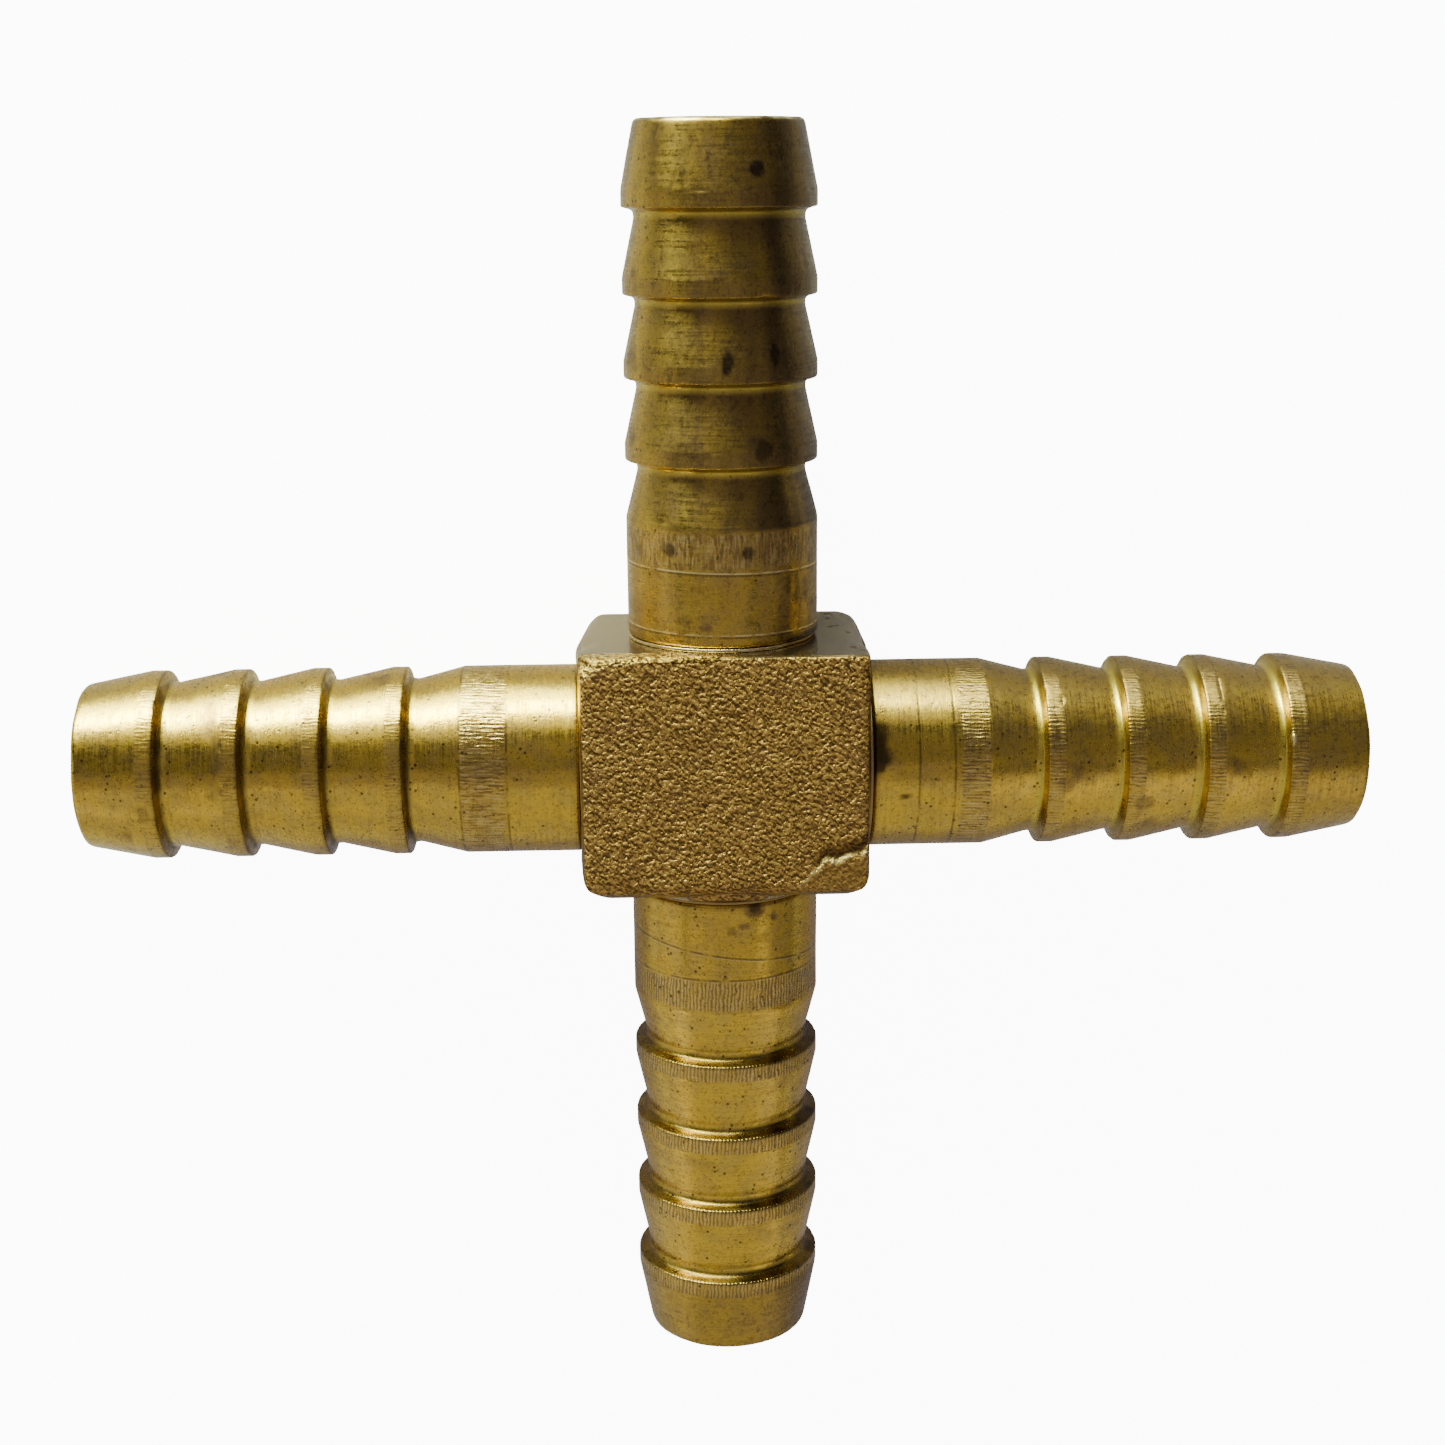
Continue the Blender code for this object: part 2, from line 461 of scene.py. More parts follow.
def tool_chatter(look, place, land):
    """Short ridges that a chattering tool leaves across the turning, from -1 to 1."""
    x, y, z = look.split(place)
    around_arm = look.math("ARCTAN2", y, look.times(x, -1.0))
    wobble = look.noise(look.stretch(place, (1.0, 1.0, 0.6)), 2.2, 2.0)
    phase = look.add(
        look.times(around_arm, 154.0),
        look.times(z, 1.4),
        look.times(wobble, 9.0),
    )
    unrolled = look.join(look.times(around_arm, 26.0), look.times(z, 0.9))
    dashes = look.noise(unrolled, 1.0, 2.0, 0.6, 0.3)
    regular = look.attribute("regular")
    ripple = look.add(
        look.times(look.math("SINE", phase), regular),
        look.times(look.range(dashes, 0.3, 0.7, -1.0, 1.0), look.math("SUBTRACT", 1.15, regular)),
    )
    depth = look.range(look.noise(place, 1.3, 2.0), 0.25, 0.6, 0.4, 1.0)
    return look.times(look.times(ripple, land), depth)


def dark_specks(look, place, cloud, grime_and_shade):
    """Dark specks of two sizes, fewer where the brass is grimy and where shade is painted."""
    large = look.pits(place, 2.4, 0.13, 0.28, 0.42)
    large = look.times(large, look.range(cloud, 0.38, 0.5))
    small = look.pits(place, 5.0, 0.16, 0.32, 0.3)
    both = look.math("MAXIMUM", large, look.times(small, 0.7))
    return look.times(both, look.range(grime_and_shade, 0.25, 0.6, 1.0, 0.4))


def fine_scratches(look, place, grime_and_shade):
    """Fine slanted scratches in patches, on brass that is neither grimy nor painted in shade."""
    slanted = look.noise(look.stretch(place, (0.45, 0.6, 1.9)), 1.0, 2.0, 0.5, 0.5)
    scratch = look.range(look.away_from(slanted, 0.5), 0.003, 0.012, 1.0, 0.0)
    scratch = look.times(scratch, look.range(look.noise(place, 1.1, 2.0), 0.5, 0.62))
    return look.times(scratch, look.range(grime_and_shade, 0.2, 0.5, 1.0, 0.0))


def turned_brass():
    """Turned brass. Grime with painted shade, polish, land, painted shade with near-black stains,
    and fresh are masks that the nipples carry.
    """
    look = Look("turned_brass")
    place = look.place()
    grime_and_shade = look.attribute("grime_and_shade")
    polish = look.attribute("polish")
    land = look.attribute("land")
    shade_and_stain = look.attribute("shade_and_stain")

    tool_lines = look.noise(look.stretch(place, (0.35, 0.35, 9.0)), 1.0, 3.0, 0.65)
    swell = look.noise(place, 0.8, 1.0)
    mottle = look.noise(look.stretch(place, (1.0, 1.0, 0.55)), 3.6, 3.0, 0.6)
    scaly = look.noise(place, 5.2, 2.0, 0.55, 0.8)
    cloud = look.noise(place, 0.75, 3.0, 0.55)
    chatter = tool_chatter(look, place, land)
    specks = dark_specks(look, place, cloud, grime_and_shade)
    scratch = fine_scratches(look, place, grime_and_shade)
    scribe, lip = scribed_lines(look, place)
    tool_marks = look.times(tool_lines, look.range(grime_and_shade, 0.2, 0.6, 1.0, 0.35))
    look.bump(
        look.add(
            look.times(tool_marks, 1.7 * MICRON),
            look.times(swell, 9 * MICRON),
            look.times(mottle, 4.2 * MICRON),
            look.times(scaly, 6.5 * MICRON),
            look.times(chatter, 11 * MICRON),
            look.times(specks, -4 * MICRON),
            look.times(scratch, -2 * MICRON),
            look.times(scribe, -5 * MICRON),
        )
    )

    blotch = look.range(look.noise(place, 2.6, 3.0, 0.65, 1.2), 0.5, 0.68)
    color = look.mix(look.range(cloud, 0.38, 0.66), (0.75, 0.475, 0.045), (0.64, 0.415, 0.065))
    color = look.layers(
        color,
        (look.range(tool_lines, 0.47, 0.66, 0.0, 0.26), (0.34, 0.205, 0.035)),
        (look.range(scaly, 0.52, 0.68, 0.0, 0.5), (0.30, 0.175, 0.035)),
        (look.range(mottle, 0.5, 0.75, 0.0, 0.35), (0.36, 0.21, 0.04)),
        (look.times(land, 0.35), (0.44, 0.29, 0.10)),
        (look.range(chatter, 0.0, 0.6, 0.0, 0.7), (0.24, 0.14, 0.035)),
        (look.range(chatter, -0.7, -0.2, 0.35, 0.0), (0.86, 0.66, 0.26)),
        # brown grime, with painted shade where the arms lie in shade and at the barbs' roots
        (look.times(grime_and_shade, 0.85), (0.19, 0.11, 0.042)),
        (look.times(blotch, look.times(grime_and_shade, 0.75)), (0.13, 0.07, 0.024)),
        (look.times(polish, 0.8), (0.84, 0.62, 0.07)),
        (look.times(specks, 0.85), (0.08, 0.045, 0.016)),
        (look.times(scratch, 0.4), (0.10, 0.06, 0.02)),
        (look.times(scribe, 0.65), (0.12, 0.07, 0.022)),
        (look.times(lip, look.attribute("lip")), (0.88, 0.68, 0.26)),
        # painted shade on shoulders, roots, feet and shaded sides, with some near-black stains
        (look.times(shade_and_stain, 0.95), (0.045, 0.027, 0.012)),
        (look.attribute("fresh"), (0.95, 0.78, 0.30)),
    )
    rough = look.add(
        look.range(mottle, 0.3, 0.75, 0.20, 0.29),
        look.range(tool_lines, 0.36, 0.64, -0.04, 0.07),
        look.times(grime_and_shade, 0.12),
        look.times(polish, 0.02),
        look.times(land, 0.04),
        look.times(shade_and_stain, 0.04),
    )
    look.set(Base_Color=color, Roughness=rough, Metallic=1.0)
    look.set(Anisotropic=0.45, Anisotropic_Rotation=0.25)
    tangent = look.node("ShaderNodeTangent", direction_type="RADIAL", axis="Z")
    look.set(Tangent=tangent.outputs[0])
    return look.material


def forged_brass():
    """The block: rough as-forged faces with painted light and shade on their grain, machined sides,
    and bare metal where it is chipped.
    """
    look = Look("forged_brass")
    place = look.place()
    rough_face = look.attribute("rough_face")
    fresh = look.attribute("fresh")
    worn = look.attribute("worn")
    scale = look.attribute("scale")

    along = look.stretch(look.turn(place, 30.0), (4.0, 5.0, 4.5))
    bend = look.noise(place, 0.9, 2.0)
    grain = look.noise(along, 1.0, 1.6, 0.5, 0.6)
    beside = look.noise(look.shift(along, FLANK_STEP), 1.0, 1.6, 0.5, 0.6)
    fine = look.noise(place, 9.0, 2.0, 0.6)
    patch = look.noise(place, 0.5, 3.0, 0.6)
    holes = look.pits(place, 0.9, 0.1, 0.3, 0.16)
    level = look.math("SUBTRACT", 1.0, look.times(worn, 0.35))
    skin = look.add(
        look.times(look.times(grain, level), 200 * MICRON),
        look.times(fine, 24 * MICRON),
        look.times(bend, 30 * MICRON),
        look.times(holes, -60 * MICRON),
    )
    rings = look.noise(look.join(look.times(look.attribute("from_axis"), 5.0)), 1.0, 3.0, 0.6)
    side = look.add(
        look.times(rings, 3 * MICRON),
        look.times(fine, 2 * MICRON),
        look.times(bend, 8 * MICRON),
    )
    torn = look.times(look.times(look.add(fine, look.times(grain, 2.0)), fresh), 80 * MICRON)
    plain = look.math("SUBTRACT", 1.0, rough_face)
    look.bump(look.add(look.times(skin, rough_face), look.times(side, plain), torn))

    # painted light on one side of each grain and painted shade on the other, mixed with the grain's
    # own darker valleys
    grain_shading = look.range(look.math("SUBTRACT", grain, beside), -0.13, 0.16)
    lit = look.add(look.times(look.range(grain, 0.36, 0.7), 0.5), look.times(grain_shading, 0.5))
    face = look.mix(lit, (0.122, 0.062, 0.015), (0.70, 0.412, 0.09))
    face = look.layers(
        face,
        (look.range(patch, 0.52, 0.72, 0.0, 0.4), (0.24, 0.13, 0.045)),
        (look.times(worn, 0.35), (0.34, 0.19, 0.04)),
        (look.times(holes, 0.7), (0.10, 0.055, 0.02)),
        # painted shade in the hollow above the lap's ridge
        (look.times(look.attribute("shaded_hollow"), 0.8), (0.085, 0.045, 0.014)),
    )
    machined = look.mix(look.range(patch, 0.4, 0.65), (0.40, 0.30, 0.13), (0.38, 0.285, 0.135))
    # dark scale on the X sides, with painted shade on the upper half of the right side
    machined = look.mix(look.times(scale, 0.95), machined, (0.10, 0.06, 0.025))
    bare = look.mix(look.range(grain, 0.40, 0.62), (0.11, 0.06, 0.014), (0.68, 0.44, 0.08))
    color = look.layers(
        look.mix(rough_face, machined, face),
        # painted highlight along the lap's ridge
        (look.times(look.attribute("ridge_highlight"), 0.95), (0.95, 0.70, 0.22)),
        (fresh, bare),
    )
    rough = look.add(
        look.times(rough_face, 0.26),
        look.times(scale, 0.25),
        look.times(fresh, 0.06),
        0.24,
    )
    look.set(Base_Color=color, Roughness=rough, Metallic=1.0)
    return look.material


def braze_filler():
    look = Look("braze_filler")
    ripple = look.noise(look.place(), 2.2, 3.0, 0.6)
    burnt = look.attribute("burnt")
    look.bump(look.times(ripple, 20 * MICRON))
    color = look.mix(look.range(ripple, 0.35, 0.7), (0.88, 0.72, 0.36), (0.58, 0.42, 0.16))
    color = look.mix(burnt, color, (0.42, 0.27, 0.08))
    rough = look.add(look.range(ripple, 0.3, 0.7, 0.2, 0.3), look.times(burnt, 0.25))
    look.set(Base_Color=color, Roughness=rough, Metallic=1.0)
    return look.material


def rounded(corners):
    """Points along a closed outline of (distance, radius, rounding) corners, each rounded."""
    outline = []
    count = len(corners)
    for index, (s, r, rounding) in enumerate(corners):
        here = np.array((s, r))
        before = np.array(corners[index - 1][:2]) - here
        after = np.array(corners[(index + 1) % count][:2]) - here
        reach_back = min(rounding, 0.48 * np.linalg.norm(before))
        reach_on = min(rounding, 0.48 * np.linalg.norm(after))
        start = here + before / np.linalg.norm(before) * reach_back
        end = here + after / np.linalg.norm(after) * reach_on
        for step in range(ROUND_STEPS + 1):
            t = step / ROUND_STEPS
            outline.append(start * (1 - t) ** 2 + here * 2 * t * (1 - t) + end * t * t)
    return outline


def step_limit(here, after):
    """The bore is plain, so its points may lie further apart."""
    in_bore = max(here[1], after[1]) < BORE_RADIUS + 0.02 * MM
    return BORE_STEP if in_bore else LONGEST_STEP


def filled_in(outline):
    """The same closed outline with extra points wherever two are too far apart."""
    dense = []
    for index, here in enumerate(outline):
        after = outline[(index + 1) % len(outline)]
        pieces = max(1, math.ceil(np.linalg.norm(after - here) / step_limit(here, after)))
        dense += [here + (after - here) * i / pieces for i in range(pieces)]
    return np.array(dense)


def crests():
    spots = [FIRST_CREST + BARB_PITCH * index for index in range(BARB_COUNT)]
    spots[-1] += TIP_BARB_EXTRA
    return spots


def nipple_corners(length, spigot, crest_radius):
    """The nipple's section from its mouth, down the outside and up the bore."""
    corners = [
        (length, BORE_RADIUS + MOUTH_CHAMFER, EDGE_ROUND),
        (length, TIP_RADIUS, TIP_ROUND),
    ]
    for crest in reversed(crests()):
        corners += [
            (crest + HALF_LAND, crest_radius, OUTER_ROUND),
            (crest - HALF_LAND, crest_radius, INNER_ROUND),
            (crest - HALF_LAND - SHOULDER_RUN, NECK_RADIUS + ROOT_LIFT, ROOT_ROUND),
            (crest - NECK_SETBACK, NECK_RADIUS, NECK_ROUND),
        ]
    corners += [
        (SHANK_END, crest_radius, OUTER_ROUND),
        (SHOULDER_GAP + FOOT_CHAMFER, crest_radius, OUTER_ROUND),
        (SHOULDER_GAP, crest_radius - FOOT_CHAMFER, FOOT_ROUND),
        (SHOULDER_GAP, SPIGOT_RADIUS, SEAT_ROUND),
        (SPIGOT_CHAMFER - spigot, SPIGOT_RADIUS, EDGE_ROUND),
        (-spigot, SPIGOT_RADIUS - SPIGOT_CHAMFER, EDGE_ROUND),
        (-spigot, BORE_RADIUS, EDGE_ROUND),
        (length - MOUTH_CHAMFER, BORE_RADIUS, EDGE_ROUND),
    ]
    return corners


def turned(name, corners, reach):
    """A closed solid of revolution about Z, from the corners of its section."""
    outline = filled_in(rounded(corners))
    angles = np.arange(TURNED_STEPS) * math.tau / TURNED_STEPS
    rings = len(outline)
    points = np.empty((rings, TURNED_STEPS, 3))
    points[:, :, 0] = outline[:, 1, None] * np.cos(angles)
    points[:, :, 1] = outline[:, 1, None] * np.sin(angles)
    points[:, :, 2] = outline[:, 0, None] + reach
    ring = np.arange(rings)[:, None]
    step = np.arange(TURNED_STEPS)[None, :]
    next_ring = (ring + 1) % rings
    next_step = (step + 1) % TURNED_STEPS
    quads = (
        ring * TURNED_STEPS + step,
        next_ring * TURNED_STEPS + step,
        next_ring * TURNED_STEPS + next_step,
        ring * TURNED_STEPS + next_step,
    )
    faces = np.stack([np.broadcast_to(c, (rings, TURNED_STEPS)) for c in quads], axis=-1)
    mesh = bpy.data.meshes.new(name)
    mesh.from_pydata(points.reshape(-1, 3), [], faces.reshape(-1, 4))
    mesh.shade_smooth()
    return mesh


class Nipple:
    """A turned nipple's vertices, with the wear and the masks that are laid on them."""

    def __init__(self, mesh, arm, reach, length, seed):
        self.arm = arm
        self.facts = ARMS[arm]
        self.length = length
        self.seed = seed
        self.points = read_points(mesh)
        self.along = self.points[:, 2] - reach
        radius = np.hypot(self.points[:, 0], self.points[:, 1])
        self.outward = self.points.copy()
        self.outward[:, 2] = 0
        self.outward /= radius[:, None]
        self.world = self.points @ np.array(arm_turn(arm).to_3x3()).T
        wall = ramp(radius, BORE_RADIUS + 0.3 * MM, BORE_RADIUS + 0.8 * MM)
        self.outside = wall * (self.along > 0)
        self.masks = {
            name: np.zeros(len(self.points))
            for name in ("land", "polish", "grime_and_shade", "fresh", "shade_and_stain")
        }

    def lay(self, name, values):
        """Raises a mask to at least the values."""
        self.masks[name] = np.maximum(self.masks[name], values)

    def lumps(self, size, number):
        """Noise with lumps of that size in millimetres, another for each number."""
        return noise(self.points, size * MM, self.seed + number)

    def across(self, axis, low, high):
        """A rise from 0 to 1 along a world axis, its ends in millimetres."""
        return ramp(self.world[:, axis], low * MM, high * MM)

    def own(self, spots):
        """The spots that are on this arm."""
        return [spot[1:] for spot in spots if spot[0] == self.arm]

    def distance_to(self, middle, size):
        """Distance from a spot's middle, as a share of its half-size."""
        return np.linalg.norm((self.world / MM - np.array(middle)) / np.array(size), axis=1)

    def mark_lands(self):
        """The flat crests and the chatter band of the shank, and the barbs' polished edges."""
        edges = np.zeros(len(self.points))
        for crest in crests():
            self.lay("land", near(self.along, crest, HALF_LAND * 1.15) > 0.02)
            inner = crest - HALF_LAND
            self.lay("polish", near(self.along, inner - 0.3 * MM, 0.42 * MM))
            for edge in (inner, crest + HALF_LAND):
                edges = np.maximum(edges, near(self.along, edge, 0.14 * MM))
        low, high = (end * MM for end in self.facts["band"])
        band = ramp(self.along, low, low + 0.2 * MM) * (1 - ramp(self.along, high - 0.1 * MM, high))
        self.masks["land"] *= self.facts["crest"]
        self.lay("land", band)
        self.masks["land"] *= self.outside
        self.masks["polish"] *= self.outside * self.facts["polish"]
        return edges

    def wear(self, edges):
        """Slight unevenness everywhere, dents along the crests' edges and a wavy rim."""
        dents = np.clip(self.lumps(0.55, 1) - 0.35, 0, 1) * edges
        uneven = self.lumps(2.4, 2) * 0.010 * MM
        uneven += self.lumps(0.7, 3) * 0.004 * MM
        uneven += self.lumps(0.3, 4) * 0.006 * MM * edges
        shift = uneven * self.outside - dents * 0.10 * MM
        rim = ramp(self.along, self.length - 0.5 * MM, self.length - 0.1 * MM) * self.outside
        lift = self.lumps(1.5, 5) * 0.035 * MM - 0.035 * MM
        self.points = self.points + self.outward * shift[:, None]
        self.points[:, 2] += lift * rim

    def stain(self):
        """Brown stains, thickest behind each crest, the placed stains and burrs, and the painted
        shadows at two feet with some near-black stains.
        """
        clouds = noise(self.world, 1.7 * MM, self.seed + 6)
        clouds = clouds + 0.5 * noise(self.world, 0.6 * MM, self.seed + 7)
        rise = np.zeros(len(self.points))
        for crest in crests():
            rise = np.maximum(rise, near(self.along, crest + 0.9 * MM, 1.3 * MM))
        stain = ramp(clouds, 0.1, 0.9) * (0.25 + 0.75 * rise)
        self.lay("grime_and_shade", stain * self.outside * self.facts["stained"])
        for middle, size, strength in self.own(STAINS):
            spot = 1 - ramp(self.distance_to(middle, size), 0.7, 1.1)
            self.lay("grime_and_shade", spot * strength * self.outside)
        for middle, size, height in self.own(BURRS):
            burr = 1 - ramp(self.distance_to(middle, size), 0.5, 1.1)
            self.lay("fresh", burr)
            self.points = self.points + self.outward * (burr * height * MM)[:, None]
        # painted shadows at two feet, and near-black stains
        for middle, size, strength in self.own(FOOT_SHADOWS_AND_STAINS):
            away = self.distance_to(middle, size) + 0.2 * self.lumps(0.45, 9)
            self.lay("shade_and_stain", (1 - ramp(away, 0.65, 1.1)) * strength * self.outside)

    def soil_shoulders(self):
        """Dirt and painted shade in the root of each barb, painted shade on its shoulders, and a
        little dirt and painted shade at the foot.
        """
        for crest in crests():
            root = near(self.along, crest - HALF_LAND - SHOULDER_RUN - 0.03 * MM, 0.12 * MM)
            dirt_and_shade = 0.55 + 0.45 * self.lumps(0.9, 8)
            # grime and painted shade in the crease at the root of each barb
            self.lay("grime_and_shade", root * dirt_and_shade)
            self.lay("shade_and_stain", 0.4 * root * dirt_and_shade)
            # painted shade on each barb's shoulder, which faces the block; on the bottom arm darker
            # towards its right
            shoulder = np.clip(near(self.along, crest - 0.6 * MM, 0.36 * MM) * 1.8, 0, 1)
            shoulder = shoulder * self.facts["shoulder"]
            if self.arm == "bottom":
                shoulder = shoulder * (0.7 + 0.3 * self.across(0, -2.0, 1.0))
            self.lay("shade_and_stain", shoulder * (0.75 + 0.25 * self.lumps(0.7, 13)))
        foot = 1 - ramp(self.along, SHOULDER_GAP + 0.10 * MM, SHOULDER_GAP + 0.5 * MM)
        # a little grime and painted shade at the foot, beside the block
        self.lay("grime_and_shade", foot * 0.3 * (self.along > 0))

    def shade_bottom(self, tip):
        # painted shade over the bottom arm's tip, deeper towards its right side
        self.lay("grime_and_shade", tip * (0.45 + 0.4 * self.across(0, 1.0, 4.5)))
        self.lay("shade_and_stain", tip * (0.08 + 0.12 * self.across(0, 0.5, 3.0)))

    def shade_right(self, tip, beyond):
        # painted shade on the right arm's upper side and its tip
        upper = self.across(1, 0.6, 2.4) * (0.2 + 0.25 * beyond)
        upper += 0.35 * self.across(1, 3.4, 4.6)
        self.lay("grime_and_shade", np.maximum(upper, 0.3 * tip) * self.outside)
        # painted shadow along the foot, on its upper half, where the block keeps the light off
        foot_line = (1 - ramp(self.along, 0.3 * MM, 0.55 * MM)) * (self.along > 0)
        self.lay("shade_and_stain", 0.7 * foot_line * self.across(1, -1.5, 0.5))

    def shade_top(self, beyond):
        # painted shade on the top arm's right flank and over most of its width beyond the band,
        # over random grime
        flank = self.across(0, 0.8, 4.6) * (0.75 + 0.25 * beyond)
        middle = self.across(0, -4.4, -3.4) * beyond
        streak = noise(self.world * np.array((1.0, 0.1, 1.0)), 0.7 * MM, self.seed + 12)
        stale = 0.4 + 0.2 * noise(self.world, 2.2 * MM, self.seed + 11) + 0.22 * streak
        self.lay("grime_and_shade", stale + 0.24 * middle + 0.4 * flank)
        shade = 0.34 * middle + 0.2 * self.across(0, 0.5, 2.5) * beyond
        self.lay("shade_and_stain", (shade + 0.12 * streak * beyond) * self.outside)
        # painted shade on the lower half next to the block
        near_block = 1 - ramp(self.along, 2.0 * MM, 4.0 * MM)
        self.lay("grime_and_shade", 0.9 * near_block * (1 - self.across(2, 2.5, 4.0)))
        line = ramp(self.along, self.length - 0.2 * MM, self.length - 0.05 * MM) * self.outside
        self.lay("fresh", line * ramp(self.lumps(0.8, 10), -0.5, 0.0))

    def shade(self):
        """How much painted shade, with some grime, each arm carries on the sides that the photo
        shows dark.
        """
        high = self.facts["band"][1] * MM
        beyond = ramp(self.along, high - 0.1 * MM, high + 0.2 * MM)
        last = crests()[-1]
        tip = ramp(self.along, last - 0.4 * MM, last + 0.6 * MM) * self.outside
        if self.arm == "bottom":
            self.shade_bottom(tip)
        if self.arm == "right":
            self.shade_right(tip, beyond)
        if self.arm == "top":
            self.shade_top(beyond)

    def keep(self, mesh):
        """Writes the points and the masks to the mesh."""
        write_points(mesh, self.points)
        across = self.world[:, 1 - arm_axis(self.arm)]
        for name, (distance, slant) in zip(("scribe_a", "scribe_b"), self.facts["lines"]):
            signed = self.along - distance * MM - slant * across
            store(mesh, name, np.where(self.outside > 0.5, signed / MM, 9.0))
        for name in ("regular", "lip"):
            store(mesh, name, np.full(len(self.points), self.facts[name]))
        for name in ("shade_and_stain", "land", "polish", "grime_and_shade", "fresh"):
            store(mesh, name, np.clip(self.masks[name], 0, 1))


def add_nipples(material):
    block_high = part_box("body_block")[1]
    for seed, arm in enumerate(ARMS):
        node = f"nipple_{arm}"
        low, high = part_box(node)
        axis = arm_axis(arm)
        reach = block_high[axis]
        far = max(abs(low[axis]), abs(high[axis]))
        close = min(abs(low[axis]), abs(high[axis]))
        length = far - reach
        corners = nipple_corners(length, reach - close, (high[2] - low[2]) / 2)
        mesh = turned(node, corners, reach)
        nipple = Nipple(mesh, arm, reach, length, SEEDS_EACH * seed)
        edges = nipple.mark_lands()
        nipple.wear(edges)
        nipple.stain()
        nipple.soil_shoulders()
        nipple.shade()
        nipple.keep(mesh)
        piece = add_piece(f"turned_nipple_{arm}", mesh, material, node)
        piece.matrix_world = arm_turn(arm)


def add_rings(material):
    for seed, arm in enumerate(ARMS):
        node = f"braze_ring_{arm}"
        low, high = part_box(node)
        axis = arm_axis(arm)
        near_end = min(abs(low[axis]), abs(high[axis])) - RING_SWELL
        far_end = max(abs(low[axis]), abs(high[axis])) + RING_SWELL
        inner = SPIGOT_RADIUS + RING_CLEARANCE
        outer = (high[2] - low[2]) / 2
        corners = [
            (far_end, inner, RING_INNER_ROUND),
            (far_end, outer, EDGE_ROUND),
            (near_end, outer, EDGE_ROUND),
            (near_end, inner, RING_INNER_ROUND),
        ]
        mesh = turned(node, corners, 0.0)
        points = read_points(mesh)
        radius = np.hypot(points[:, 0], points[:, 1])
        edge = ramp(radius, outer - 0.3 * MM, outer)
        world = points @ np.array(arm_turn(arm).to_3x3()).T
        bright = np.zeros(len(points))
        flush = np.ones(len(points))
        if arm == "top":
            flush = ramp(-world[:, 0], -3.6 * MM, -2.4 * MM)
            bright = flush * ramp(world[:, 2], 0.0, 1.5 * MM)
        swing = noise(points, 1.1 * MM, RING_SEED + seed) * 0.015 * MM
        swing = swing + flush * RING_FLUSH + bright * RING_BEAD
        points[:, :2] *= (1 + swing * edge / radius)[:, None]
        write_points(mesh, points)
        store(mesh, "burnt", 1 - bright)
        piece = add_piece(f"filler_ring_{arm}", mesh, material, node)
        piece.matrix_world = arm_turn(arm)


def to_object(name, shape):
    """An object from an edited mesh, linked to the scene."""
    mesh = bpy.data.meshes.new(name)
    shape.to_mesh(mesh)
    shape.free()
    made = bpy.data.objects.new(name, mesh)
    bpy.context.scene.collection.objects.link(made)
    return made


def cylinder_cutter(radius, low, high, arm):
    shape = bmesh.new()
    bmesh.ops.create_cone(
        shape,
        cap_ends=True,
        segments=CUTTER_SEGMENTS,
        radius1=radius,
        radius2=radius,
        depth=high - low,
        matrix=arm_turn(arm) @ Matrix.Translation((0, 0, (low + high) / 2)),
    )
    return to_object("cutter", shape)


def rise_of(edge):
    return abs(edge.verts[0].co.z - edge.verts[1].co.z)


def bevel(shape, edges, width, segments):
    bmesh.ops.bevel(
        shape, geom=edges, offset=width, segments=segments, profile=0.5, affect="EDGES"
    )


def block_blank(size):
    """The block with rounded corners, its waterways and sockets cut, in even small faces."""
    shape = bmesh.new()
    bmesh.ops.create_cube(shape, size=1.0)
    bmesh.ops.scale(shape, vec=size, verts=shape.verts)
    upright = [edge for edge in shape.edges if rise_of(edge) > size.z / 2]
    bevel(shape, upright, CORNER_RADIUS, CORNER_SEGMENTS)
    level = [edge for edge in shape.edges if rise_of(edge) < 0.01 * MM]
    bevel(shape, level, FACE_EDGE, FACE_EDGE_SEGMENTS)
    blank = to_object("blank", shape)
    cutters = []
    for arm in ARMS:
        width = size[arm_axis(arm)]
        if arm in ("right", "top"):
            cutters.append(cylinder_cutter(BORE_RADIUS, -width, width, arm))
        cutters.append(cylinder_cutter(SOCKET_RADIUS, width / 2 - SOCKET_DEPTH, width, arm))
    for cutter in cutters:
        cut = blank.modifiers.new("Cut", "BOOLEAN")
        cut.operation = "DIFFERENCE"
        cut.solver = "EXACT"
        cut.object = cutter
    even = blank.modifiers.new("Even faces", "REMESH")
    even.mode = "VOXEL"
    even.voxel_size = VOXEL
    graph = bpy.context.evaluated_depsgraph_get()
    made = bpy.data.meshes.new_from_object(blank.evaluated_get(graph))
    for helper in [blank, *cutters]:
        bpy.data.objects.remove(helper, do_unlink=True)
    made.name = "block"
    made.shade_smooth()
    return made


def sharpen_corners(points, half):
    """The upper corners by the rough face are squarer than the rest."""
    inner = half[:2] - CORNER_RADIUS
    beyond = np.abs(points[:, :2]) - inner
    at_corner = (beyond > 0).all(axis=1) & (points[:, 1] > 0)
    squareness = 2 + 4.5 * ramp(points[:, 2], half[2] - 4.5 * MM, half[2] - 0.5 * MM)
    share = np.clip(beyond, 1e-9, None)
    share = share / np.linalg.norm(share, axis=1)[:, None]
    stretch = (share**squareness[:, None]).sum(axis=1) ** (-1 / squareness)
    moved = np.sign(points[:, :2]) * (inner + beyond * stretch[:, None])
    points[at_corner, :2] = moved[at_corner]


